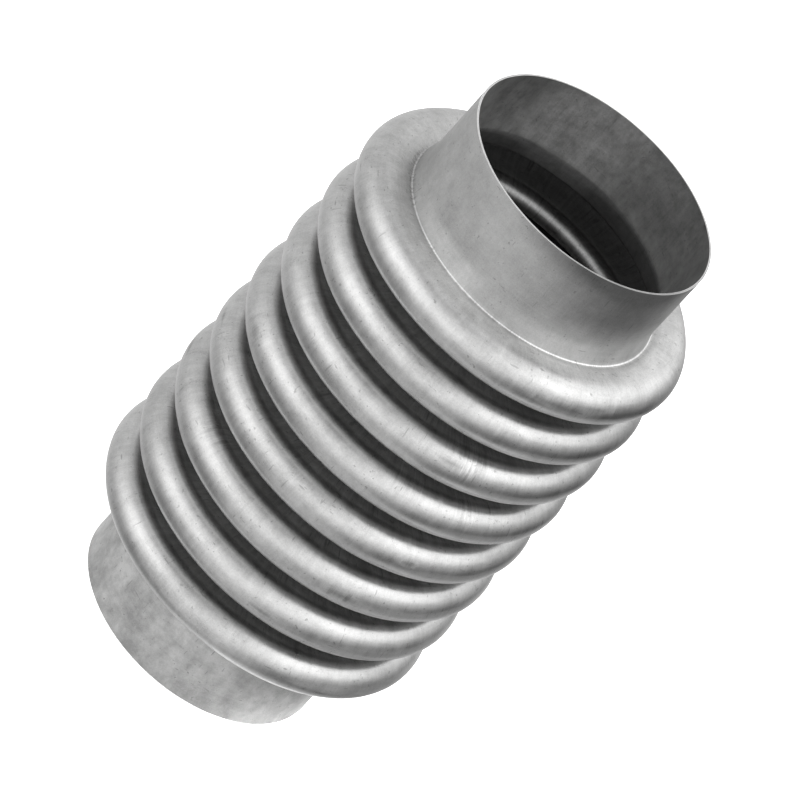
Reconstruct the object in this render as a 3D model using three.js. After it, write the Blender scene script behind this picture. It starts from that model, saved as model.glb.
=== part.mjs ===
// Metal bellows expansion joint: a two-ply corrugated tube with a plain cuff at each end.
// Millimetres, +Z along the bore, origin at the centre of the lower rim plane.
import * as THREE from "three";

// Driving dimensions.
const SIDES = 36; // flats that stand for the round of every ring
const CUFF_OUTER_RADIUS = 63.5;
const PLY_THICKNESS = 0.45;
const PLY_GAP = 0.1;
const WALL = 2 * PLY_THICKNESS + PLY_GAP;
const CONVOLUTIONS = 8;
const PITCH = 28.8;
const CREST_RADIUS = 88.6; // outside of a crest, from the bore's axis
const CREST_BEND = 10.8; // outside radius of the crest's own bend
const ROOT_RADIUS = 65.5; // outside of a root, from the bore's axis
const ROOT_BEND = PITCH / 2 - CREST_BEND; // outside radius of the root's own bend
const FIRST_CREST_HEIGHT = 56.2;
const LENGTH = 2 * FIRST_CREST_HEIGHT + (CONVOLUTIONS - 1) * PITCH;
const FLARE_LENGTH = 9; // height over which a cuff opens out to the root's radius
const NECK_HEIGHT = 1.6; // upright lip of an end flank that the cuff's plies stand on
const END_FLANK_SINK = 1.8; // how far an end flank leans in from its cuff's level to its crest's
const PIECE_GAP = 0.2; // parting between neighbouring pieces of the formed wall
const CREST_BEND_STEPS = 5;
const ROOT_BEND_STEPS = 2;
const FLARE_STEPS = 2;

const crestCentreRadius = CREST_RADIUS - CREST_BEND;
const rootCentreRadius = ROOT_RADIUS + ROOT_BEND;
const crestHeight = (convolution) => FIRST_CREST_HEIGHT + (convolution - 1) * PITCH;

const BRIGHT_STEEL = { color: 0xb4b4b2, roughness: 0.38, metalness: 1 };
const MATT_STEEL = { color: 0x9c9c9a, roughness: 0.52, metalness: 1 };

// Points [radius, height] along an arc in the half-plane that is turned about the axis.
function arc(centreRadius, centreHeight, bend, fromDegrees, toDegrees, steps) {
  const points = [];
  for (let step = 0; step <= steps; step += 1) {
    const angle = THREE.MathUtils.degToRad(fromDegrees + ((toDegrees - fromDegrees) * step) / steps);
    points.push([centreRadius + bend * Math.cos(angle), centreHeight + bend * Math.sin(angle)]);
  }
  return points;
}

// A ring from its outer line and its inner line, both listed from low to high.
function ring(name, outerLine, innerLine, finish) {
  const outline = [...outerLine, ...[...innerLine].reverse(), outerLine[0]];
  const points = outline.map(([radius, height]) => new THREE.Vector2(radius, height));
  const geometry = new THREE.LatheGeometry(points, SIDES);
  geometry.rotateX(Math.PI / 2);
  const mesh = new THREE.Mesh(geometry, new THREE.MeshStandardMaterial(finish));
  mesh.name = name;
  return mesh;
}

// The same line seen upside down about a height, listed from low to high again.
function mirrored(line, height) {
  return line.map(([radius, z]) => [radius, 2 * height - z]).reverse();
}

// A crest: the half round that joins a convolution's two flanks.
function crest(convolution) {
  const height = crestHeight(convolution);
  const seam = crestCentreRadius + PIECE_GAP / 2;
  const outer = arc(seam, height, CREST_BEND, -90, 90, CREST_BEND_STEPS);
  const inner = arc(seam, height, CREST_BEND - WALL, -90, 90, CREST_BEND_STEPS);
  return ring("crest_" + convolution, outer, inner, BRIGHT_STEEL);
}

// A lower flank: the upper half of the root below a crest, and the flat disc up to that crest.
function lowerFlankLines(height) {
  const rootHeight = height - PITCH / 2 + PIECE_GAP / 2;
  const outerEdge = crestCentreRadius - PIECE_GAP / 2;
  const rise = ROOT_BEND - PIECE_GAP / 2;
  const outer = arc(rootCentreRadius, rootHeight, ROOT_BEND, 180, 90, ROOT_BEND_STEPS).map(
    ([radius, z]) => [radius, rootHeight + ((z - rootHeight) * rise) / ROOT_BEND],
  );
  outer.push([outerEdge, height - CREST_BEND]);
  const innerBend = ROOT_BEND + WALL;
  const inner = arc(rootCentreRadius, rootHeight, innerBend, 180, 90, ROOT_BEND_STEPS).map(
    ([radius, z]) => [radius, rootHeight + ((z - rootHeight) * (rise + WALL)) / innerBend],
  );
  inner.push([outerEdge, height - CREST_BEND + WALL]);
  return { outer, inner };
}

function lowerFlank(convolution) {
  const { outer, inner } = lowerFlankLines(crestHeight(convolution));
  return ring("lower_flank_" + convolution, outer, inner, BRIGHT_STEEL);
}

function upperFlank(convolution) {
  const height = crestHeight(convolution);
  const { outer, inner } = lowerFlankLines(height);
  return ring(
    "upper_flank_" + convolution,
    mirrored(outer, height),
    mirrored(inner, height),
    BRIGHT_STEEL,
  );
}

// An end flank: a disc that leans a little inwards, with its inner edge turned up into the cuff.
function endFlank(name, isUpper) {
  const outerEdge = crestCentreRadius - PIECE_GAP / 2;
  const faceHeight = crestHeight(1) - CREST_BEND;
  const creaseHeight = faceHeight + END_FLANK_SINK;
  const middleRadius = (ROOT_RADIUS + outerEdge) / 2;
  const middleHeight = faceHeight + END_FLANK_SINK / 4;
  const outer = [
    [ROOT_RADIUS, creaseHeight - NECK_HEIGHT],
    [ROOT_RADIUS, creaseHeight],
    [middleRadius, middleHeight],
    [outerEdge, faceHeight],
  ];
  const inner = [
    [ROOT_RADIUS - WALL, creaseHeight - NECK_HEIGHT],
    [ROOT_RADIUS - WALL, creaseHeight],
    [ROOT_RADIUS, creaseHeight + WALL],
    [middleRadius, middleHeight + WALL],
    [outerEdge, faceHeight + WALL],
  ];
  if (!isUpper) return ring(name, outer, inner, BRIGHT_STEEL);
  return ring(name, mirrored(outer, LENGTH / 2), mirrored(inner, LENGTH / 2), BRIGHT_STEEL);
}

// One ply of a cuff: a straight sleeve that opens out a little towards the convolutions.
function cuffPly(name, depthInWall, isUpper) {
  const creaseHeight = crestHeight(1) - CREST_BEND + END_FLANK_SINK;
  const flareEnd = creaseHeight - NECK_HEIGHT - PIECE_GAP;
  const flareStart = flareEnd - FLARE_LENGTH;
  const opening = ROOT_RADIUS - CUFF_OUTER_RADIUS;
  const line = (radius) => {
    const points = [[radius, 0]];
    for (let step = 0; step <= FLARE_STEPS; step += 1) {
      const share = step / FLARE_STEPS;
      points.push([radius + opening * share * share, flareStart + FLARE_LENGTH * share]);
    }
    return points;
  };
  const outer = line(CUFF_OUTER_RADIUS - depthInWall);
  const inner = line(CUFF_OUTER_RADIUS - depthInWall - PLY_THICKNESS);
  if (!isUpper) return ring(name, outer, inner, MATT_STEEL);
  return ring(name, mirrored(outer, LENGTH / 2), mirrored(inner, LENGTH / 2), MATT_STEEL);
}

const bellows = new THREE.Group();
bellows.name = "metal_bellows_expansion_joint";
bellows.add(cuffPly("lower_cuff_outer_ply", 0, false));
bellows.add(cuffPly("lower_cuff_inner_ply", PLY_THICKNESS + PLY_GAP, false));
bellows.add(endFlank("lower_flank_1", false));
for (let convolution = 1; convolution <= CONVOLUTIONS; convolution += 1) {
  if (convolution > 1) bellows.add(lowerFlank(convolution));
  bellows.add(crest(convolution));
  if (convolution < CONVOLUTIONS) bellows.add(upperFlank(convolution));
}
bellows.add(endFlank("upper_flank_8", true));
bellows.add(cuffPly("upper_cuff_outer_ply", 0, true));
bellows.add(cuffPly("upper_cuff_inner_ply", PLY_THICKNESS + PLY_GAP, true));

export default bellows;
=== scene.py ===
"""The bellows expansion joint as it looks: formed two-ply stainless wall, plain cuffs, studio light."""

import math
from typing import NamedTuple

import bpy
import numpy as np
from mathutils import Matrix, Vector


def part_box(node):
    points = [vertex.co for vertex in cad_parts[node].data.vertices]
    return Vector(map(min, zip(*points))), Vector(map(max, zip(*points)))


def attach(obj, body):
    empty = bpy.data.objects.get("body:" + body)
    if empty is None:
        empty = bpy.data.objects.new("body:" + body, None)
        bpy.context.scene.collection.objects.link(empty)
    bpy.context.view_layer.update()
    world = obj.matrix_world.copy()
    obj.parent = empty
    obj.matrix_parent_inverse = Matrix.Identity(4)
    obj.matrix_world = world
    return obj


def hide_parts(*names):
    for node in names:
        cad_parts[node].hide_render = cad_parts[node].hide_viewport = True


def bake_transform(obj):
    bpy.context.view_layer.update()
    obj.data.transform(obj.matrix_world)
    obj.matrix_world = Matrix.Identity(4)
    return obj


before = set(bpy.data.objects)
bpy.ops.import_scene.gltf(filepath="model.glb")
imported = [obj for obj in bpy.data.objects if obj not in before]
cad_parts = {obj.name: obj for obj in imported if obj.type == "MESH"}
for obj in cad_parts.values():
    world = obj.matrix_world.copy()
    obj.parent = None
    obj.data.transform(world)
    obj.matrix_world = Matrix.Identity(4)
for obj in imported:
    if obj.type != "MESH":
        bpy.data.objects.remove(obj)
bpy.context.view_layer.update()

MM = 0.001
COLUMNS = 288  # points round each ring
CONVOLUTIONS = 8
PLY = 0.45 * MM
PLY_GAP = 0.1 * MM
WALL = 2 * PLY + PLY_GAP

# Sizes read from the CAD frame.
CREST_INSET = 0.1 * MM  # keeps the waves of the wall inside the CAD's outline
crest_low, crest_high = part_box("crest_1")
second_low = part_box("crest_2")[0]
cuff_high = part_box("lower_cuff_outer_ply")[1]
top_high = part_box("upper_cuff_outer_ply")[1]
CREST_BEND = (crest_high.z - crest_low.z) / 2
PITCH = second_low.z - crest_low.z
FIRST_CREST = (crest_high.z + crest_low.z) / 2
CREST_RADIUS = crest_high.x - CREST_INSET
ROOT_RADIUS = cuff_high.x
ROOT_BEND = PITCH / 2 - CREST_BEND
LENGTH = top_high.z
FIRST_FACE = FIRST_CREST - CREST_BEND  # height of the first crest's lower side

CUFF_RADIUS = 63.5 * MM
FLARE_LENGTH = 12 * MM
FLARE_SHORT = 0.2  # the flare stops short of the root's radius by this share of the crease's bend
END_FLANK_SINK = 1.8 * MM  # how far the end flank leans in from the cuff to the crest
CREASE_BEND = 0.7 * MM
WRAP_RADIUS = 75 * MM  # radius at which surface detail is laid out round the ring
INNER_WRAP = 0.9  # the inside's share of that radius

SAME_POINT = 1e-7  # rows closer than this are one row

# Rows along each stretch of the wall.
CUFF_STEPS = 14
FLARE_STEPS = 8
CREASE_STEPS = 6
END_FLANK_STEPS = 10
END_FLANK_SEAM = 6  # the step at which an end flank's own piece stops
QUARTER_CREST_STEPS = 12
ROOT_STEPS = 14
OUTER_FLANK_STEPS = 3
INNER_FLANK_STEPS = 2


def crest_height(i):
    return FIRST_CREST + (i - 1) * PITCH


# ---- the wall's outer line, from the lower rim to the upper rim ----


class Line:
    """Rows of the formed wall: radius, height and outward normal of its outer face."""

    def __init__(self):
        self.rows = []
        self.marks = {}

    def mark(self, name):
        self.marks[name] = len(self.rows) - 1

    def add(self, radius, height, normal_radius, normal_height):
        if self.rows:
            last = self.rows[-1]
            if math.hypot(radius - last[0], height - last[1]) < SAME_POINT:
                return
        size = math.hypot(normal_radius, normal_height)
        self.rows.append((radius, height, normal_radius / size, normal_height / size))

    def straight(self, start, end, steps):
        way = (end[0] - start[0], end[1] - start[1])
        for step in range(steps + 1):
            share = step / steps
            self.add(start[0] + way[0] * share, start[1] + way[1] * share, way[1], -way[0])

    def bend(self, centre, radius, start_degrees, end_degrees, steps, outward):
        for step in range(steps + 1):
            angle = math.radians(start_degrees + (end_degrees - start_degrees) * step / steps)
            c = math.cos(angle)
            s = math.sin(angle)
            self.add(centre[0] + radius * c, centre[1] + radius * s, outward * c, outward * s)


def cuff_rows():
    """Rows of a cuff from its rim at height 0 to the end of its flare."""
    flare_end = FIRST_FACE + END_FLANK_SINK - CREASE_BEND
    flare_start = flare_end - FLARE_LENGTH
    opening = ROOT_RADIUS - CUFF_RADIUS - CREASE_BEND * FLARE_SHORT
    rows = []
    for step in range(CUFF_STEPS + 1):
        rows.append((CUFF_RADIUS, flare_start * step / CUFF_STEPS, 1.0, 0.0))
    for step in range(1, FLARE_STEPS + 1):
        share = step / FLARE_STEPS
        radius = CUFF_RADIUS + opening * share * share
        slope = 2 * opening * share / FLARE_LENGTH
        rows.append((radius, flare_start + FLARE_LENGTH * share, 1.0, -slope))
    return rows


def add_lower_end(line, crest_centre):
    """The lower cuff, its crease and the end flank, which sinks in a little towards the crease."""
    rows = cuff_rows()
    for row in rows:
        line.add(*row)
    line.mark("lower_crease_start")
    last = rows[-1]
    turn = math.degrees(math.atan2(-last[3], last[2]))
    centre = (
        last[0] + CREASE_BEND * math.cos(math.radians(turn)),
        last[1] - CREASE_BEND * math.sin(math.radians(turn)),
    )
    lean = math.degrees(math.atan(2 * END_FLANK_SINK / (crest_centre - ROOT_RADIUS)))
    line.bend(centre, CREASE_BEND, 180 - turn, 90 - lean, CREASE_STEPS, -1)
    first_radius, first_height = line.rows[-1][:2]
    drop = first_height - FIRST_FACE
    reach = crest_centre - first_radius
    for step in range(1, END_FLANK_STEPS + 1):
        left = 1 - step / END_FLANK_STEPS
        slope = 2 * drop * left / reach
        line.add(crest_centre - reach * left, FIRST_FACE + drop * left * left, -slope, -1)
        if step == END_FLANK_SEAM:
            line.mark("seam_low_1")


def add_root(line, i, crest_centre):
    """The flanks and the root between crest i and the next, with a seam halfway along each flank."""
    middle_radius = (ROOT_RADIUS + ROOT_BEND + CREST_RADIUS - CREST_BEND) / 2
    root_centre = ROOT_RADIUS + ROOT_BEND
    z = crest_height(i)
    low = z + CREST_BEND
    high = z + PITCH - CREST_BEND
    line.straight((crest_centre, low), (middle_radius, low), OUTER_FLANK_STEPS)
    line.mark(f"seam_high_{i}")
    line.straight((middle_radius, low), (root_centre, low), INNER_FLANK_STEPS)
    line.bend((root_centre, z + PITCH / 2), ROOT_BEND, 270, 90, ROOT_STEPS, -1)
    line.straight((root_centre, high), (middle_radius, high), INNER_FLANK_STEPS)
    line.mark(f"seam_low_{i + 1}")
    line.straight((middle_radius, high), (crest_centre, high), OUTER_FLANK_STEPS)


def wall_line():
    line = Line()
    crest_centre = CREST_RADIUS - CREST_BEND
    add_lower_end(line, crest_centre)
    end_count = len(line.rows)
    for i in range(1, CONVOLUTIONS + 1):
        centre = (crest_centre, crest_height(i))
        line.bend(centre, CREST_BEND, -90, 0, QUARTER_CREST_STEPS, 1)
        line.mark(f"crest_{i}")
        line.bend(centre, CREST_BEND, 0, 90, QUARTER_CREST_STEPS, 1)
        if i < CONVOLUTIONS:
            add_root(line, i, crest_centre)
    for radius, height, normal_radius, normal_height in reversed(line.rows[:end_count]):
        line.add(radius, LENGTH - height, normal_radius, -normal_height)
    last_row = len(line.rows) - 1
    line.marks["lower_rim"] = 0
    line.marks["upper_rim"] = last_row
    line.marks["upper_crease_start"] = last_row - line.marks["lower_crease_start"]
    line.marks[f"seam_high_{CONVOLUTIONS}"] = last_row - line.marks["seam_low_1"]
    return line


line = wall_line()
marks = line.marks
rows = np.array(line.rows)
row_count = len(rows)
run = np.concatenate([[0], np.cumsum(np.hypot(np.diff(rows[:, 0]), np.diff(rows[:, 1])))])
angles = np.arange(COLUMNS) * 2 * math.pi / COLUMNS


# ---- slight unevenness of hand-worked sheet: long waves, and a few small dents ----

SEED = 41
# Waves: how many, most turns round the ring, shortest length along the wall, size.
LONG_WAVES = (14, 9, 90 * MM, 0.05 * MM)
SHORT_WAVES = (20, 26, 30 * MM, 0.02 * MM)
DENTS = 26
DENT_WIDTHS = (2.0, 5.0)  # mm
DENT_DEPTHS = (-0.10, 0.16)  # mm, below 0 for a bulge
DENT_FREE_ROWS = 30  # rows at each end with no dent's centre

chance = np.random.default_rng(SEED)


def waves(count, most_round, shortest, size):
    """A smooth random field over (row, column), even in size over the wall."""
    field = np.zeros((row_count, COLUMNS))
    for _ in range(count):
        turns = chance.integers(0, most_round + 1)
        phase = chance.uniform(0, 2 * math.pi)
        stretch = chance.uniform(-1, 1) * 2 * math.pi / shortest
        field += np.cos(turns * angles[None, :] + phase + stretch * run[:, None])
    return field * size / math.sqrt(count)


def dent(angle_degrees, row, width, depth):
    """A shallow round dent centred at an angle and on a row of the wall."""
    across = (angles[None, :] - math.radians(angle_degrees) + math.pi) % (2 * math.pi) - math.pi
    distance = (across * rows[row, 0]) ** 2 + (run[:, None] - run[row]) ** 2
    return -depth * np.exp(-distance / (2 * width * width))


def unevenness():
    """How far the wall stands out from its true line, over (row, column)."""
    field = waves(*LONG_WAVES)
    field += waves(*SHORT_WAVES)
    for _ in range(DENTS):
        field += dent(
            chance.uniform(0, 360),
            int(chance.integers(DENT_FREE_ROWS, row_count - DENT_FREE_ROWS)),
            chance.uniform(*DENT_WIDTHS) * MM,
            chance.uniform(*DENT_DEPTHS) * MM,
        )
    return field


offset = unevenness()


def face_points(depth):
    """World points and normals of the face that lies at this depth in the wall."""
    shift = offset - depth
    radius = rows[:, 0][:, None] + rows[:, 2][:, None] * shift
    height = rows[:, 1][:, None] + rows[:, 3][:, None] * shift
    points = np.stack([radius * np.cos(angles), radius * np.sin(angles), height], -1)
    round_way = np.roll(points, -1, 1) - np.roll(points, 1, 1)
    long_way = np.gradient(points, axis=0)
    normals = np.cross(round_way, long_way)
    normals /= np.linalg.norm(normals, axis=2, keepdims=True)
    return points, normals


# ---- where the wall is soiled and scuffed, darkened by painted shade and brightened by painted highlights ----

GROOVE_START = 81 * MM  # radius below which a groove is darkened by painted shade
GROOVE_FULL = 69.5 * MM
FLANK_FADE_START = 76 * MM  # an end flank's own finish is full inside this radius
FLANK_FADE_END = 88 * MM
# Each crease: the width of its painted highlight, and the rows from a cuff's end to the crease's middle.
CREASE_WIDTH = 0.6 * MM
CREASE_MIDDLE = 3  # rows from a cuff's end to the middle of its crease

# A sector is its middle azimuth, the half angle where it is full, and the angle of its fade, in degrees.
# The stretch of the upper crease that is left without its painted highlight:
CREASE_HIGHLIGHT_GAP = (-162, 28, 15)
# Painted highlights and painted reflections outside: a band up each flare, the end flanks past the
# creases, a band under each crest and one on each crest top.
FLARE_HIGHLIGHT = 0.45
FLARE_HIGHLIGHT_SECTORS = ((-115, 10, 16), (-60, 12, 16))
FLARE_HIGHLIGHT_RISE = 4 * MM
FLANK_HIGHLIGHT_SECTOR = (-55, 45, 55)
FLANK_HIGHLIGHT_RISE = 5 * MM
UNDER_CREST = (-6, 1.0, 3.4 * MM, (-125, 25, 35))  # rows from the crest, share, width, sector
CREST_TOP = (4, 0.36, 4 * MM, (-69, 8, 16))
# A slight darkening of the lower cuff near its rim:
LOW_DARKENING_SECTOR = (-66, 4, 20)
LOW_DARKENING = 0.32
LOW_DARKENING_REACH = 16 * MM

# Bell-shaped patches round a cuff, painted shade outside the upper cuff and a strip of painted highlight
# inside it: middle azimuth and width in degrees, and share.
RIM_SHADE = (-58, 34, 0.8)
RIM_SHADE_REACH = 7 * MM
SIDE_SHADE = (-38, 30, 0.88)
SIDE_SHADE_FULL = 20 * MM
SIDE_SHADE_FADE = 19 * MM
INNER_STRIP = (107, 21, 0.8)
INNER_SHADE = 0.34  # how deep the painted shade inside the upper cuff is, but for the strip of painted highlight
CUFF_SHADE_END = 1.5  # it starts to fade at a depth of this less 1; the end flank is at 1

INNER_SOIL_AND_SHADE = 0.5  # soiling and painted shade inside the convolutions
# Painted shade inside, round each crease and in the hollows of the crests.
CORNER_START = 11.5 * MM  # how far before the crease the inside starts to be dark
CORNER_RISE = 1.5 * MM  # it comes up over this length, to this share of its full darkness
CORNER_FIRST = 0.55
CORNER_DEEPEN = 6 * MM  # and it is fully dark after this length
CORNER_REACH = 10 * MM  # how far past the crease it fades out again
HOLLOW_SHADE = 0.85  # how dark the inside of the crests is, from 0 to 1
HOLLOW_START = 69 * MM  # radius at which a hollow starts to be dark
HOLLOW_FADE = 7 * MM

# Spots on the wall: azimuth in degrees, wall mark and rows past it, width round the ring and length in mm.
TICKS = (
    (-178, "upper_crease_start", -6, 4.0, 0.8),
    (-168, "upper_crease_start", -6, 6.0, 1.1),
    (-157, "upper_crease_start", -6, 6.0, 1.1),
    (-147, "upper_crease_start", -5, 4.0, 0.9),
)
SCUFFS = (
    (-59.5, "crest_6", 3, 3.2, 3.0),
    (-56, "crest_6", 8, 3.0, 3.0),
    (-53, "seam_high_4", -5, 0.8, 5.0),
    (-111.5, "seam_high_6", -4, 1.2, 4.0),
    (-47, "seam_high_5", -6, 4.0, 5.0),
    (-70, "seam_high_5", -5, 5.0, 4.0),
    (-155, "crest_4", 4, 2.5, 2.5),
    (-62, "seam_high_6", -5, 5.0, 4.0),
    (-128, "seam_high_3", -5, 5.0, 4.0),
)
# Smudges of dirt, listed the same way.
SMUDGES = (
    (-51, "crest_8", 1, 11.0, 1.5),
    (-41, "crest_8", 3, 7.0, 1.0),
    (-62.5, "crest_3", 0, 7.0, 1.4),
    (-53, "crest_4", 2, 3.0, 1.3),
    (-55.5, "crest_4", 10, 0.45, 4.0),
    (-57, "crest_5", 9, 0.45, 3.5),
    (-78, "crest_2", -1, 6.0, 0.9),
    (-66, "crest_6", 4, 5.0, 1.0),
    (-140, "crest_5", 1, 4.0, 2.0),
    (-170, "crest_3", 2, 5.0, 0.6),
    (-163, "crest_4", 3, 4.0, 0.6),
)

EMPTY = np.zeros((row_count, COLUMNS))
ALL_ROUND = np.ones((1, COLUMNS))


def smooth(share):
    """0 to 1 with level ends, for a share that may lie outside."""
    share = np.clip(share, 0, 1)
    return share * share * (3 - 2 * share)


def bell(distance, width):
    """1 at no distance, fading to 0 over about twice the width."""
    return np.exp(-((distance / width) ** 2))


def turn_from(azimuth_degrees):
    """Degrees of each column past an azimuth, from -180 to 180."""
    return ((np.degrees(angles) - azimuth_degrees + 180) % 360 - 180)[None, :]


def sector(middle, half, fade):
    return 1 - smooth((np.abs(turn_from(middle)) - half) / fade)


def patch(middle, width, share):
    return share * bell(turn_from(middle), width)


def spots(places):
    """A field that is 1 at each listed spot and fades out round it."""
    field = np.zeros((row_count, COLUMNS))
    for azimuth, mark, shift, across, along in places:
        row = marks[mark] + shift
        turn = np.radians(turn_from(azimuth))
        distance = (turn * rows[row, 0] / (across * MM)) ** 2
        distance = distance + ((run[:, None] - run[row]) / (along * MM)) ** 2
        field += np.exp(-distance / 2)
    return np.clip(field, 0, 1)


def ways_from_creases():
    """Distance of each row past each crease, counted towards the middle of the joint."""
    lower = run - run[marks["lower_crease_start"] + CREASE_MIDDLE]
    upper = run - run[marks["upper_crease_start"] - CREASE_MIDDLE]
    return lower, -upper


def upper_cuff_shade():
    """Painted shade outside, along the rim at the front and broader at the right."""
    below_rim = LENGTH - rows[:, 1]
    rim = bell(below_rim, RIM_SHADE_REACH)[:, None]
    band = (1 - smooth((below_rim - SIDE_SHADE_FULL) / SIDE_SHADE_FADE))[:, None]
    return np.clip(rim * patch(*RIM_SHADE) + band * patch(*SIDE_SHADE), 0, 1)


def lower_cuff_darkening():
    """Slightly darker outside, near the rim."""
    return LOW_DARKENING * bell(rows[:, 1], LOW_DARKENING_REACH)[:, None] * sector(*LOW_DARKENING_SECTOR)


def soil_and_painted_shade(groove):
    """Outside: painted shade in the grooves, smudges of dirt, painted shade on the upper cuff and a slight
    darkening of the lower one.
    """
    soil_and_shade = np.maximum(groove[:, None] * ALL_ROUND, spots(SMUDGES))
    upper_cuff = marks["upper_crease_start"]
    soil_and_shade[upper_cuff:] = upper_cuff_shade()[upper_cuff:]
    lower_cuff = marks["lower_crease_start"] + 1
    soil_and_shade[:lower_cuff] = lower_cuff_darkening()[:lower_cuff]
    return soil_and_shade


def crease_highlights():
    """The painted highlight along each crease, left out for a stretch of the upper one."""
    lower, upper = ways_from_creases()
    line_share = bell(lower, CREASE_WIDTH)[:, None] * ALL_ROUND
    return line_share + bell(upper, CREASE_WIDTH)[:, None] * (1 - sector(*CREASE_HIGHLIGHT_GAP))


def painted_highlights(flank, crease):
    """Painted highlights and painted reflections outside: creases, flares, end flanks, and bands along the
    crests.
    """
    highlight = crease.copy()
    flare_sectors = sum(sector(*place) for place in FLARE_HIGHLIGHT_SECTORS)
    for away in ways_from_creases():
        flare = smooth((away + FLARE_LENGTH) / FLARE_HIGHLIGHT_RISE) * (away < -CREASE_BEND)
        highlight += FLARE_HIGHLIGHT * flare[:, None] * flare_sectors
        beyond = smooth(away / FLANK_HIGHLIGHT_RISE) * (away < LENGTH / 2)
        highlight += (beyond * flank)[:, None] * sector(*FLANK_HIGHLIGHT_SECTOR)
    for shift, share, width, place in (UNDER_CREST, CREST_TOP):
        for i in range(1, CONVOLUTIONS + 1):
            distance = run - run[marks[f"crest_{i}"] + shift]
            highlight += share * bell(distance, width)[:, None] * sector(*place)
    return np.clip(highlight, 0, 1)


def inner_darkness():
    """Painted shade inside: how dark the inside is round each crease, and in the hollows of the crests."""
    corner = np.zeros(row_count)
    for away in ways_from_creases():
        past_start = away + CORNER_START
        deepening = CORNER_FIRST + (1 - CORNER_FIRST) * smooth(past_start / CORNER_DEEPEN)
        before = smooth(past_start / CORNER_RISE) * deepening
        corner += np.where(away > 0, bell(away, CORNER_REACH), before)
    hollow = HOLLOW_SHADE * smooth((rows[:, 0] - HOLLOW_START) / HOLLOW_FADE)
    return np.maximum(corner, hollow)


def surface_fields():
    """What the steel shows at each point, outside and inside.

    Wear is soil together with painted shade, the painted highlight along the creases, and scuffs. Zone is
    an end flank's share (inside a cuff, the depth), tool ticks and painted light, which is 1 where painted
    shade makes the wall dark and dull and -1 where painted highlights make it bright.
    """
    radius = rows[:, 0]
    ends = np.ones(row_count)
    ends[marks["crest_1"] : marks[f"crest_{CONVOLUTIONS}"] + 1] = 0
    # painted shade in the grooves
    groove = smooth((GROOVE_START - radius) / (GROOVE_START - GROOVE_FULL)) * (1 - ends)
    flank = smooth((FLANK_FADE_END - radius) / (FLANK_FADE_END - FLANK_FADE_START)) * ends
    crease = crease_highlights()
    wear_and_painted_light = np.stack([soil_and_painted_shade(groove), crease, spots(SCUFFS)], -1)
    # outside, the zone's third value is minus the painted highlights
    zone = np.stack([flank[:, None] * ALL_ROUND, spots(TICKS), -painted_highlights(flank, crease)], -1)

    depth = np.clip(np.minimum(rows[:, 1], LENGTH - rows[:, 1]) / FIRST_FACE, 0, 1) * ends
    plain = smooth(CUFF_SHADE_END - depth) * (rows[:, 1] > LENGTH / 2) * ends
    # painted shade inside the upper cuff, less a strip of painted highlight
    cuff_shade = plain[:, None] * (INNER_SHADE - patch(*INNER_STRIP))
    shade = np.clip(inner_darkness()[:, None] + cuff_shade, -1, 1)
    # inside the convolutions: soiling with painted shade
    inner_soil_and_shade = np.stack([INNER_SOIL_AND_SHADE * (1 - ends[:, None] * ALL_ROUND), EMPTY, EMPTY], -1)
    inner_zone = np.stack([depth[:, None] * ALL_ROUND, EMPTY, shade], -1)
    return {"wear_and_painted_light": (wear_and_painted_light, inner_soil_and_shade), "zone": (zone, inner_zone)}


fields = surface_fields()


# ---- materials ----

NOISE_RANGE = (0.3, 0.7)  # where nearly all of a noise's values lie


class Nodes:
    """Small helper that adds and joins shader nodes."""

    def __init__(self, tree):
        self.tree = tree

    def add(self, kind, **values):
        node = self.tree.nodes.new(kind)
        for key, value in values.items():
            setattr(node, key, value)
        return node

    def join(self, source, target):
        self.tree.links.new(source, target)

    def attribute(self, name):
        return self.add("ShaderNodeAttribute", attribute_name=name).outputs["Vector"]

    def split(self, vector):
        node = self.add("ShaderNodeSeparateXYZ")
        self.join(vector, node.inputs[0])
        return node.outputs

    def noise(self, vector, stretch, scale, detail, roughness):
        if stretch:
            longer = self.add("ShaderNodeVectorMath", operation="MULTIPLY")
            longer.inputs[1].default_value = stretch
            self.join(vector, longer.inputs[0])
            vector = longer.outputs["Vector"]
        node = self.add("ShaderNodeTexNoise")
        node.inputs["Scale"].default_value = scale
        node.inputs["Detail"].default_value = detail
        node.inputs["Roughness"].default_value = roughness
        self.join(vector, node.inputs["Vector"])
        return node.outputs["Fac"]

    def ramp(self, value, low, high, low_value=0.0, high_value=1.0):
        node = self.add("ShaderNodeMapRange")
        node.inputs["From Min"].default_value = low
        node.inputs["From Max"].default_value = high
        node.inputs["To Min"].default_value = low_value
        node.inputs["To Max"].default_value = high_value
        self.join(value, node.inputs["Value"])
        return node.outputs["Result"]

    def math(self, kind, first, second):
        node = self.add("ShaderNodeMath", operation=kind)
        for socket, value in zip(node.inputs, (first, second)):
            if isinstance(value, (int, float)):
                socket.default_value = value
            else:
                self.join(value, socket)
        return node.outputs["Value"]

    def total(self, parts):
        result = parts[0]
        for part in parts[1:]:
            result = self.math("ADD", result, part)
        return result

    def swing(self, noise, size):
        """A noise spread evenly from -size to size."""
        return self.math("MULTIPLY", self.ramp(noise, *NOISE_RANGE, -1.0, 1.0), size)


def new_material(name):
    material = bpy.data.materials.new(name)
    material.use_nodes = True
    material.node_tree.nodes.clear()
    return material, Nodes(material.node_tree)


def finish_material(n, shader):
    out = n.add("ShaderNodeOutputMaterial")
    n.join(shader.outputs["BSDF"], out.inputs["Surface"])


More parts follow.
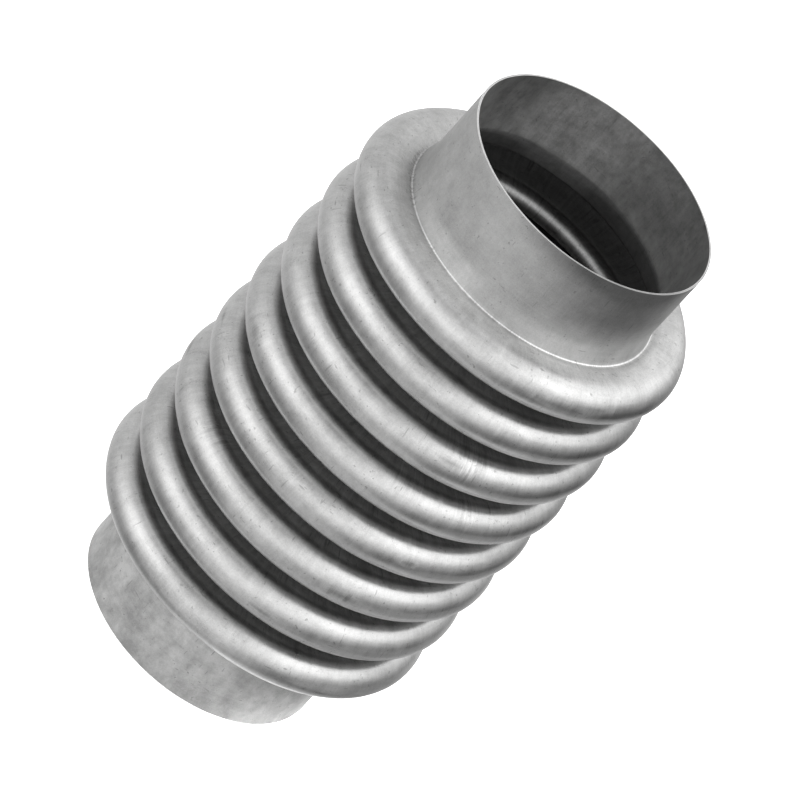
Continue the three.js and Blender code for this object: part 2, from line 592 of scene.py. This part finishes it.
# The steel's patterns: stretch round and along the tube, scale, detail and roughness of the noise.
PATTERNS = {
    "clouds": (None, 30.0, 5.0, 0.6),
    "patches": (None, 120.0, 4.0, 0.6),
    "mottle": (None, 330.0, 3.0, 0.6),
    "grain": (None, 1700.0, 2.0, 0.7),
    "scratches": ((1.0, 1.0, 0.06), 1000.0, 3.0, 0.6),
    "draws": ((1.0, 1.0, 0.10), 420.0, 4.0, 0.65),
    "rings": ((0.02, 0.02, 1.0), 900.0, 3.0, 0.7),
    "specks": (None, 520.0, 2.0, 0.5),
    "nicks": ((1.0, 1.0, 0.16), 640.0, 2.0, 0.5),
    "strokes": ((1.0, 1.0, 0.07), 700.0, 2.0, 0.5),
    "dashes": ((0.25, 0.25, 1.0), 560.0, 2.0, 0.5),
    "ticks": ((1.0, 1.0, 0.6), 760.0, 2.0, 0.6),
}
# Dark marks show where their pattern climbs through this range.
MARKS = (("specks", (0.69, 0.74)), ("nicks", (0.72, 0.77)), ("dashes", (0.72, 0.77)))
STROKE_RANGE = (0.60, 0.68)
STROKE_PATCHES = (0.46, 0.58)  # strokes keep to where the patches climb through this range
TICK_RANGE = (0.54, 0.60)
TICK_DEPTH = 1.6
MIDDLE_TONE = 0.5
GRAIN_TONE = 0.16
RING_TONE = 0.06
SCUFF_DRAWS = 0.40  # how much stronger a scuff makes the draw marks
CREASE_SHINE = 0.5  # how far the painted highlight along the crease rises above the tone round it

GROOVE_TONE = 0.66  # how much of its brightness a groove's steel keeps under the painted shade
GROOVE_STREAK = 0.13
GROOVE_STROKE = 0.55
GROOVE_ROUGHER = 0.18
GROOVE_DRAWN = 0.6  # soiling at which the extra draw marks are full
GROOVE_STROKED = 0.4  # and the strokes
GROOVE_ROUGHENED = 0.35  # and the extra roughness
CUFF_DARKENED_TONE = 0.36  # how much of its brightness the darkened part of a cuff keeps: painted shade on the upper cuff, a slight darkening near the lower cuff's rim
CORNER_TONE = 0.12  # how much of it the darkest painted shade inside keeps
CORNER_METAL_END = 0.5  # painted shade above which the inside stops being bare metal
HIGHLIGHT_TONE = 1.4  # how much brighter a painted highlight makes the steel
FLANK_TONE = 1.1  # how much brighter an end flank is than a crest
FLANK_ROUGHER = 0.2
DEEP_TONE = 1.3  # how much lighter the inside of a cuff is at its crease than at its rim
ROUGH_SWING = 0.03  # how far the roughness changes with the patches, and again with the draw marks

RELIEF = (("grain", 0.4), ("scratches", 0.8), ("rings", 0.4), ("draws", 0.9), ("mottle", 1.3))
RELIEF_STRENGTH = 0.3
RELIEF_DEPTH = 0.00012


class SoilAndShade(NamedTuple):
    """What full soiling and painted shade do to the steel."""

    tone: float  # share of its brightness that it keeps under painted shade and soil
    streak: float  # how much stronger its draw marks get
    stroke: float  # how dark the strokes on it are
    start: float  # soiling and painted shade at which it starts to darken


class Finish(NamedTuple):
    """How a steel looks: its tones, its roughness and how strongly its patterns show."""

    light: tuple
    dark: tuple
    rough: float
    cloud: float
    stain: float
    mottled: float
    speck: float
    streak: float
    soil_and_shade: SoilAndShade
    flank_tone: float = 1.0


def steel_tone(n, finish, noise, wear_and_painted_light, tick):
    """Where the steel lies between its dark and its light tone."""
    groove, crease, scuff = wear_and_painted_light
    soil_and_shade = finish.soil_and_shade
    most_draws = finish.streak + soil_and_shade.streak
    draw_tone = n.math("ADD", n.swing(noise["scratches"], 1.0), n.swing(noise["draws"], 1.0))
    draw_size = n.math(
        "ADD",
        n.ramp(groove, 0.0, GROOVE_DRAWN, finish.streak, most_draws),
        n.math("MULTIPLY", scuff, SCUFF_DRAWS),
    )
    shine = n.ramp(noise["scratches"], *NOISE_RANGE, 0.0, CREASE_SHINE)
    tone = n.total(
        [
            n.swing(noise["clouds"], finish.cloud),
            MIDDLE_TONE,
            n.swing(noise["patches"], finish.stain),
            n.swing(noise["mottle"], finish.mottled),
            n.swing(noise["grain"], GRAIN_TONE),
            n.swing(noise["rings"], RING_TONE),
            n.math("MULTIPLY", draw_tone, draw_size),
            # the painted highlight along the creases, broken up by the scratches
            n.math("MULTIPLY", crease, shine),
        ]
    )
    stroke = n.math(
        "MULTIPLY", n.ramp(noise["strokes"], *STROKE_RANGE), n.ramp(noise["patches"], *STROKE_PATCHES)
    )
    stroke_depth = n.ramp(groove, 0.0, GROOVE_STROKED, 0.0, soil_and_shade.stroke)
    dark_marks = [n.math("MULTIPLY", stroke, stroke_depth)]
    for pattern, limits in MARKS:
        dark_marks.append(n.math("MULTIPLY", n.ramp(noise[pattern], *limits), finish.speck))
    ticked = n.math("MULTIPLY", n.ramp(noise["ticks"], *TICK_RANGE), tick)
    dark_marks.append(n.math("MULTIPLY", ticked, TICK_DEPTH))
    for dark_mark in dark_marks:
        tone = n.math("SUBTRACT", tone, dark_mark)
    return tone


def steel_colour(n, finish, tone, groove, flank, shade):
    """The steel's tone as a colour, darkened by soil and painted shade, and brightened by painted
    highlights.
    """
    mix = n.add("ShaderNodeMix", data_type="RGBA")
    mix.inputs[6].default_value = (*finish.dark, 1)
    mix.inputs[7].default_value = (*finish.light, 1)
    n.join(n.ramp(tone, 0.0, 1.0), mix.inputs[0])
    soiled_and_shaded = n.ramp(groove, finish.soil_and_shade.start, 1.0, 1.0, finish.soil_and_shade.tone)
    share = n.math("MULTIPLY", soiled_and_shaded, n.ramp(shade, 0.0, 1.0, 1.0, CORNER_TONE))
    share = n.math("MULTIPLY", share, n.ramp(shade, -1.0, 0.0, HIGHLIGHT_TONE, 1.0))
    share = n.math("MULTIPLY", share, n.ramp(flank, 0.0, 1.0, 1.0, finish.flank_tone))
    shared = n.add("ShaderNodeMix", data_type="RGBA", blend_type="MULTIPLY")
    shared.inputs[0].default_value = 1.0
    n.join(mix.outputs[2], shared.inputs[6])
    n.join(share, shared.inputs[7])
    return shared.outputs[2]


def steel_gloss(n, finish, noise, groove, flank):
    """The steel's roughness."""
    least = finish.rough - ROUGH_SWING
    most = finish.rough + ROUGH_SWING
    return n.total(
        [
            n.ramp(noise["patches"], *NOISE_RANGE, least, most),
            n.swing(noise["draws"], ROUGH_SWING),
            n.math("MULTIPLY", flank, FLANK_ROUGHER),
            n.ramp(groove, 0.0, GROOVE_ROUGHENED, 0.0, GROOVE_ROUGHER),
        ]
    )


def steel(name, finish):
    """Bare stainless sheet: cloudy tone, stains, fine grain, draw marks, specks and forming rings."""
    material, n = new_material(name)
    place = n.attribute("wrap")
    noise = {}
    for pattern, values in PATTERNS.items():
        noise[pattern] = n.noise(place, *values)
    wear_and_painted_light = n.split(n.attribute("wear_and_painted_light"))
    groove = wear_and_painted_light[0]
    flank, tick, shade = n.split(n.attribute("zone"))
    tone = steel_tone(n, finish, noise, wear_and_painted_light, tick)
    relief = n.total([n.math("MULTIPLY", noise[pattern], share) for pattern, share in RELIEF])
    bump = n.add("ShaderNodeBump")
    bump.inputs["Strength"].default_value = RELIEF_STRENGTH
    bump.inputs["Distance"].default_value = RELIEF_DEPTH
    n.join(relief, bump.inputs["Height"])
    shader = n.add("ShaderNodeBsdfPrincipled")
    shader.inputs["Specular IOR Level"].default_value = 0.0
    # where the painted shade is deepest, the inside stops being metal
    n.join(n.ramp(shade, CORNER_METAL_END, 1.0, 1.0, 0.0), shader.inputs["Metallic"])
    n.join(steel_colour(n, finish, tone, groove, flank, shade), shader.inputs["Base Color"])
    n.join(steel_gloss(n, finish, noise, groove, flank), shader.inputs["Roughness"])
    n.join(bump.outputs["Normal"], shader.inputs["Normal"])
    finish_material(n, shader)
    return material


# Soil and painted shade in the grooves and inside; painted shade on the upper cuff and a slight darkening
# on the lower.
GROOVE_SOIL_AND_SHADE = SoilAndShade(tone=GROOVE_TONE, streak=GROOVE_STREAK, stroke=GROOVE_STROKE, start=0.3)
CUFF_DARKENING = SoilAndShade(tone=CUFF_DARKENED_TONE, streak=0.05, stroke=0.0, start=0.0)
BELLOWS_FINISH = Finish(
    light=(0.60, 0.60, 0.597),
    dark=(0.32, 0.32, 0.318),
    rough=0.31,
    cloud=0.14,
    stain=0.12,
    mottled=0.09,
    speck=1.4,
    streak=0.07,
    soil_and_shade=GROOVE_SOIL_AND_SHADE,
    flank_tone=FLANK_TONE,
)
UPPER_CUFF_FINISH = Finish(
    light=(0.53, 0.53, 0.527),
    dark=(0.32, 0.32, 0.318),
    rough=0.42,
    cloud=0.18,
    stain=0.12,
    mottled=0.07,
    speck=0.8,
    streak=0.05,
    soil_and_shade=CUFF_DARKENING,
)
LOWER_CUFF_FINISH = Finish(
    light=(0.61, 0.61, 0.607),
    dark=(0.35, 0.35, 0.348),
    rough=0.44,
    cloud=0.46,
    stain=0.22,
    mottled=0.08,
    speck=1.6,
    streak=0.02,
    soil_and_shade=CUFF_DARKENING,
)
INSIDE_FINISH = Finish(
    light=(0.50, 0.50, 0.497),
    dark=(0.30, 0.30, 0.298),
    rough=0.55,
    cloud=0.22,
    stain=0.20,
    mottled=0.18,
    speck=0.7,
    streak=0.10,
    soil_and_shade=GROOVE_SOIL_AND_SHADE,
    flank_tone=DEEP_TONE,
)
CUT_FINISH = Finish(
    light=(0.93, 0.93, 0.925),
    dark=(0.74, 0.74, 0.735),
    rough=0.38,
    cloud=0.1,
    stain=0.1,
    mottled=0.1,
    speck=0.5,
    streak=0.2,
    soil_and_shade=CUFF_DARKENING,
)
bellows_steel = steel("bellows_steel", BELLOWS_FINISH)
cuff_steel = steel("cuff_steel", UPPER_CUFF_FINISH)
low_cuff_steel = steel("low_cuff_steel", LOWER_CUFF_FINISH)
inside_steel = steel("inside_steel", INSIDE_FINISH)
cut_edge = steel("cut_edge", CUT_FINISH)


# ---- pieces ----


def ring_faces(outer, inner, outer_normals, inner_normals):
    """Corners of a closed ring's faces and a normal for each corner; its two edges come last."""
    count = len(outer) // COLUMNS
    inner_start = len(outer)
    faces = []
    normals = []
    for row in range(count - 1):
        for column in range(COLUMNS):
            a = row * COLUMNS + column
            b = row * COLUMNS + (column + 1) % COLUMNS
            c = b + COLUMNS
            d = a + COLUMNS
            faces.append((a, b, c, d))
            normals.extend(outer_normals[k] for k in (a, b, c, d))
            faces.append(tuple(inner_start + k for k in (a, d, c, b)))
            normals.extend(inner_normals[k] for k in (a, d, c, b))
    points = np.concatenate([outer, inner])
    for row in (0, count - 1):
        for column in range(COLUMNS):
            a = row * COLUMNS + column
            b = row * COLUMNS + (column + 1) % COLUMNS
            corners = (a, b, inner_start + b, inner_start + a)
            if row == 0:
                corners = corners[::-1]
            first, second, third, fourth = (points[k] for k in corners)
            across = np.cross(third - first, fourth - second)
            across /= np.linalg.norm(across)
            faces.append(corners)
            normals.extend([across] * 4)
    return faces, normals


def add_vectors(mesh, name, outer, inner):
    """Give each point of the outer and then the inner face a vector."""
    vectors = np.concatenate([outer.reshape(-1, 3), inner.reshape(-1, 3)])
    attribute = mesh.attributes.new(name, "FLOAT_VECTOR", "POINT")
    attribute.data.foreach_set("vector", vectors.astype(np.float32).ravel())


def ring_piece(name, top_depth, bottom_depth, first_mark, last_mark, material, slot, edge=None):
    """A closed ring of the wall between two marks, from one depth in the wall to another."""
    first = marks[first_mark]
    last = marks[last_mark]
    part = slice(first, last + 1)
    outer, outer_normals = (face[part].reshape(-1, 3) for face in face_points(top_depth))
    inner, inner_normals = (face[part].reshape(-1, 3) for face in face_points(bottom_depth))
    faces, normals = ring_faces(outer, inner, outer_normals, -inner_normals)
    mesh = bpy.data.meshes.new(name)
    mesh.from_pydata(np.concatenate([outer, inner]).tolist(), [], faces)
    count = last - first + 1
    round_x = np.tile(WRAP_RADIUS * np.cos(angles), count)
    round_y = np.tile(WRAP_RADIUS * np.sin(angles), count)
    wrap = np.stack([round_x, round_y, np.repeat(run[part], COLUMNS)], -1)
    add_vectors(mesh, "wrap", wrap, wrap * np.array([INNER_WRAP, INNER_WRAP, 1.0]))
    for field_name, (outer_field, inner_field) in fields.items():
        add_vectors(mesh, field_name, outer_field[part], inner_field[part])
    mesh.polygons.foreach_set("use_smooth", [True] * len(mesh.polygons))
    mesh.normals_split_custom_set([tuple(v) for v in normals])
    mesh.materials.append(material)
    if edge:
        mesh.materials.append(edge)
        for polygon in mesh.polygons[-2 * COLUMNS :]:
            polygon.material_index = 1
    piece = bpy.data.objects.new(name, mesh)
    bpy.context.scene.collection.objects.link(piece)
    return piece


def bellows_piece(name, first_mark, last_mark):
    return ring_piece(name, 0, WALL, first_mark, last_mark, bellows_steel, "bellows_steel")


def build_convolutions():
    for i in range(1, CONVOLUTIONS + 1):
        lower = bellows_piece(f"crest_{i}_lower_half", f"seam_low_{i}", f"crest_{i}")
        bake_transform(lower)
        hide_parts(f"crest_{i}")
        upper = bellows_piece(f"crest_{i}_upper_half", f"crest_{i}", f"seam_high_{i}")
        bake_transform(upper)
        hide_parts(f"crest_{i}")
        if i == CONVOLUTIONS:
            continue
        root = bellows_piece(f"root_{i}", f"seam_high_{i}", f"seam_low_{i + 1}")
        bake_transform(root)
        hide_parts(f"upper_flank_{i}", f"lower_flank_{i + 1}")


def build_end(side, flank_marks, cuff_marks, flank_node, finish):
    """An end flank and the two sleeves of its cuff."""
    flank = bellows_piece(f"{side}_end_flank", *flank_marks)
    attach(flank, f"{side}_cuff")
    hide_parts(flank_node)
    outer = ring_piece(
        f"{side}_cuff_outer_sleeve", 0, PLY, *cuff_marks, finish, "cuff_steel", cut_edge
    )
    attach(outer, f"{side}_cuff")
    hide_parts(f"{side}_cuff_outer_ply")
    inner = ring_piece(
        f"{side}_cuff_inner_sleeve", PLY + PLY_GAP, WALL, *cuff_marks, inside_steel, "cuff_steel", cut_edge
    )
    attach(inner, f"{side}_cuff")
    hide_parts(f"{side}_cuff_inner_ply")


build_convolutions()
build_end(
    "lower",
    ("lower_crease_start", "seam_low_1"),
    ("lower_rim", "lower_crease_start"),
    "lower_flank_1",
    low_cuff_steel,
)
build_end(
    "upper",
    (f"seam_high_{CONVOLUTIONS}", "upper_crease_start"),
    ("upper_crease_start", "upper_rim"),
    f"upper_flank_{CONVOLUTIONS}",
    cuff_steel,
)


# ---- floor, light and camera ----

AIM = Vector((0.0007, 0.0020, 0.1602))  # the point that the camera and the key light face

FLOOR_NEAR = 0.079  # outer radius of the floor next to the cuff
FLOOR_FAR = 12.0
FLOOR_CENTRE = 0.0001  # radius of the pinhole in the middle of the floor
FLOOR_DROP = 0.0005
FLOOR_GLOW = 0.85
FLOOR_WHITE = 0.93
FLOOR_ROUGHNESS = 0.9
FLOOR_SPECULAR = 0.1
FLOOR_STEP = 5  # degrees
MIRRORED_FLOOR = (-75, 100)  # azimuths between which the floor shows in the lower cuff
PLAIN_FLOOR = (100, 285)

# Soft boxes of the studio: azimuth, elevation, angular half-width (degrees) and radiance.
SOFT_BOXES = (
    (-149, 22, 27, 2.0),
    (-88, 8, 28, 1.55),
    (-23, 44, 27, 1.92),
    (-94, -46, 26, 0.60),
    (60, 52, 18, 0.55),
    (58, 36, 16, 0.50),
    (125, 40, 16, 0.10),
    (-50, 2, 18, 0.30),
    (0, -22, 20, 0.20),
    (35, -70, 17, 0.65),
    (34, -31, 24, -0.75),
    (-120, 78, 16, -0.35),
    (-172, -62, 17, -0.25),
)
SURROUND = 0.22  # radiance of the room, and how it changes towards +X, +Y and +Z
SURROUND_SLOPE = (-0.13, 0.71, -0.16)
SURROUND_LEAST = 0.09
# The key light: azimuth, elevation, distance, side and radiance.
KEY_LIGHT = (6, 40, 2.4, 1.8, 0.6)
# Lit cards lying on the floor: name, centre X and Y, size along X and Y (metres), radiance.
FLOOR_CARDS = (
    ("right_card", 0.27, 0.10, 0.30, 0.44, 0.30),
    ("front_card", 0.01, -0.19, 0.20, 0.14, 0.18),
)
CARD_HEIGHT = 0.001

CAMERA_ELEVATION = 32.67  # degrees
CAMERA_ROLL = 42.33
CAMERA_DISTANCE = 3.0227
CAMERA_LENS = 300  # mm
CAMERA_SENSOR = 36
CAMERA_CLIP_END = 50


def direction(azimuth, elevation):
    """The unit vector towards an azimuth and elevation in degrees."""
    turn = math.radians(azimuth)
    rise = math.radians(elevation)
    return math.cos(rise) * math.cos(turn), math.cos(rise) * math.sin(turn), math.sin(rise)


def floor_paint(name, glow):
    """Matt white, with a glow that keeps a lit studio floor clear of shadow."""
    material, n = new_material(name)
    shader = n.add("ShaderNodeBsdfPrincipled")
    shader.inputs["Base Color"].default_value = (FLOOR_WHITE, FLOOR_WHITE, FLOOR_WHITE, 1)
    shader.inputs["Roughness"].default_value = FLOOR_ROUGHNESS
    shader.inputs["Specular IOR Level"].default_value = FLOOR_SPECULAR
    shader.inputs["Emission Color"].default_value = (1, 1, 1, 1)
    shader.inputs["Emission Strength"].default_value = glow
    finish_material(n, shader)
    material.cycles.emission_sampling = "NONE"
    return material


def floor_ring(name, near, far, glow, first=0, last=360):
    """A flat ring of floor between two radii, or the part of it between two angles in degrees."""
    steps = (last - first) // FLOOR_STEP
    points = []
    for radius in (near, far):
        for step in range(steps + 1):
            turn = math.radians(first + (last - first) * step / steps)
            points.append((radius * math.cos(turn), radius * math.sin(turn), 0))
    faces = [(k, steps + 1 + k, steps + 2 + k, k + 1) for k in range(steps)]
    mesh = bpy.data.meshes.new(name)
    mesh.from_pydata(points, [], faces)
    mesh.materials.append(floor_paint(name, glow))
    floor = bpy.data.objects.new(name, mesh)
    floor.location.z = -FLOOR_DROP
    bpy.context.scene.collection.objects.link(floor)
    return floor


def build_floor():
    """The lit floor, the strip of it that the lower cuff mirrors, and the unlit spot under the bore."""
    under = CUFF_RADIUS - WALL / 2
    floor_ring("floor_under_bore", FLOOR_CENTRE, under, 0.0)
    floor_ring("floor_near", under, FLOOR_NEAR, FLOOR_GLOW, *MIRRORED_FLOOR)
    floors = (
        floor_ring("floor_beside", under, FLOOR_NEAR, FLOOR_GLOW, *PLAIN_FLOOR),
        floor_ring("floor", FLOOR_NEAR, FLOOR_FAR, FLOOR_GLOW),
    )
    for floor in floors:
        floor.visible_glossy = False
        floor.visible_shadow = False


def build_surround():
    """A white studio tent: a shaded surround, with broad soft boxes in it."""
    world = bpy.data.worlds.new("studio")
    world.use_nodes = True
    n = Nodes(world.node_tree)
    view = n.add("ShaderNodeTexCoord").outputs["Generated"]

    def towards(vector):
        node = n.add("ShaderNodeVectorMath", operation="DOT_PRODUCT")
        node.inputs[1].default_value = vector
        n.join(view, node.inputs[0])
        return node.outputs["Value"]

    total = n.math("ADD", towards(SURROUND_SLOPE), SURROUND)
    for azimuth, elevation, spread, radiance in SOFT_BOXES:
        away = n.math("SUBTRACT", towards(direction(azimuth, elevation)), 1.0)
        fade = n.math("POWER", math.e, n.math("DIVIDE", away, math.radians(spread) ** 2))
        total = n.math("ADD", total, n.math("MULTIPLY", fade, radiance))
    total = n.math("MAXIMUM", total, SURROUND_LEAST)
    background = world.node_tree.nodes["Background"]
    background.inputs["Color"].default_value = (1, 1, 1, 1)
    n.join(total, background.inputs["Strength"])
    bpy.context.scene.world = world
    bpy.context.scene.view_settings.view_transform = "Standard"


def area_light(name, shape, size_x, size_y, radiance):
    """A lamp that lights its surroundings and stays out of the picture."""
    data = bpy.data.lights.new(name, "AREA")
    data.shape = shape
    data.size = size_x
    data.size_y = size_y
    data.energy = math.pi * size_x * size_y * radiance
    lamp = bpy.data.objects.new(name, data)
    lamp.visible_camera = False
    bpy.context.scene.collection.objects.link(lamp)
    return lamp


def build_lights():
    azimuth, elevation, distance, side, radiance = KEY_LIGHT
    way = Vector(direction(azimuth, elevation))
    key = area_light("key_light", "SQUARE", side, side, radiance)
    key.location = AIM + way * distance
    key.rotation_euler = way.to_track_quat("Z", "Y").to_euler()
    for name, x, y, size_x, size_y, radiance in FLOOR_CARDS:
        card = area_light(name, "RECTANGLE", size_x, size_y, radiance)
        card.location = (x, y, CARD_HEIGHT)
        card.rotation_euler = (math.pi, 0, 0)


def build_camera():
    elevation = math.radians(CAMERA_ELEVATION)
    roll = math.radians(CAMERA_ROLL)
    data = bpy.data.cameras.new("camera")
    data.lens = CAMERA_LENS
    data.sensor_width = CAMERA_SENSOR
    data.clip_end = CAMERA_CLIP_END
    back = Vector((0, -math.cos(elevation), math.sin(elevation)))
    side = Vector((1, 0, 0))
    rise = back.cross(side)
    right = side * math.cos(roll) + rise * math.sin(roll)
    up = rise * math.cos(roll) - side * math.sin(roll)
    camera = bpy.data.objects.new("camera", data)
    turn = Matrix((right, up, back)).transposed().to_4x4()
    camera.matrix_world = Matrix.Translation(AIM + back * CAMERA_DISTANCE) @ turn
    bpy.context.scene.collection.objects.link(camera)
    bpy.context.scene.camera = camera


build_floor()
build_surround()
build_lights()
build_camera()
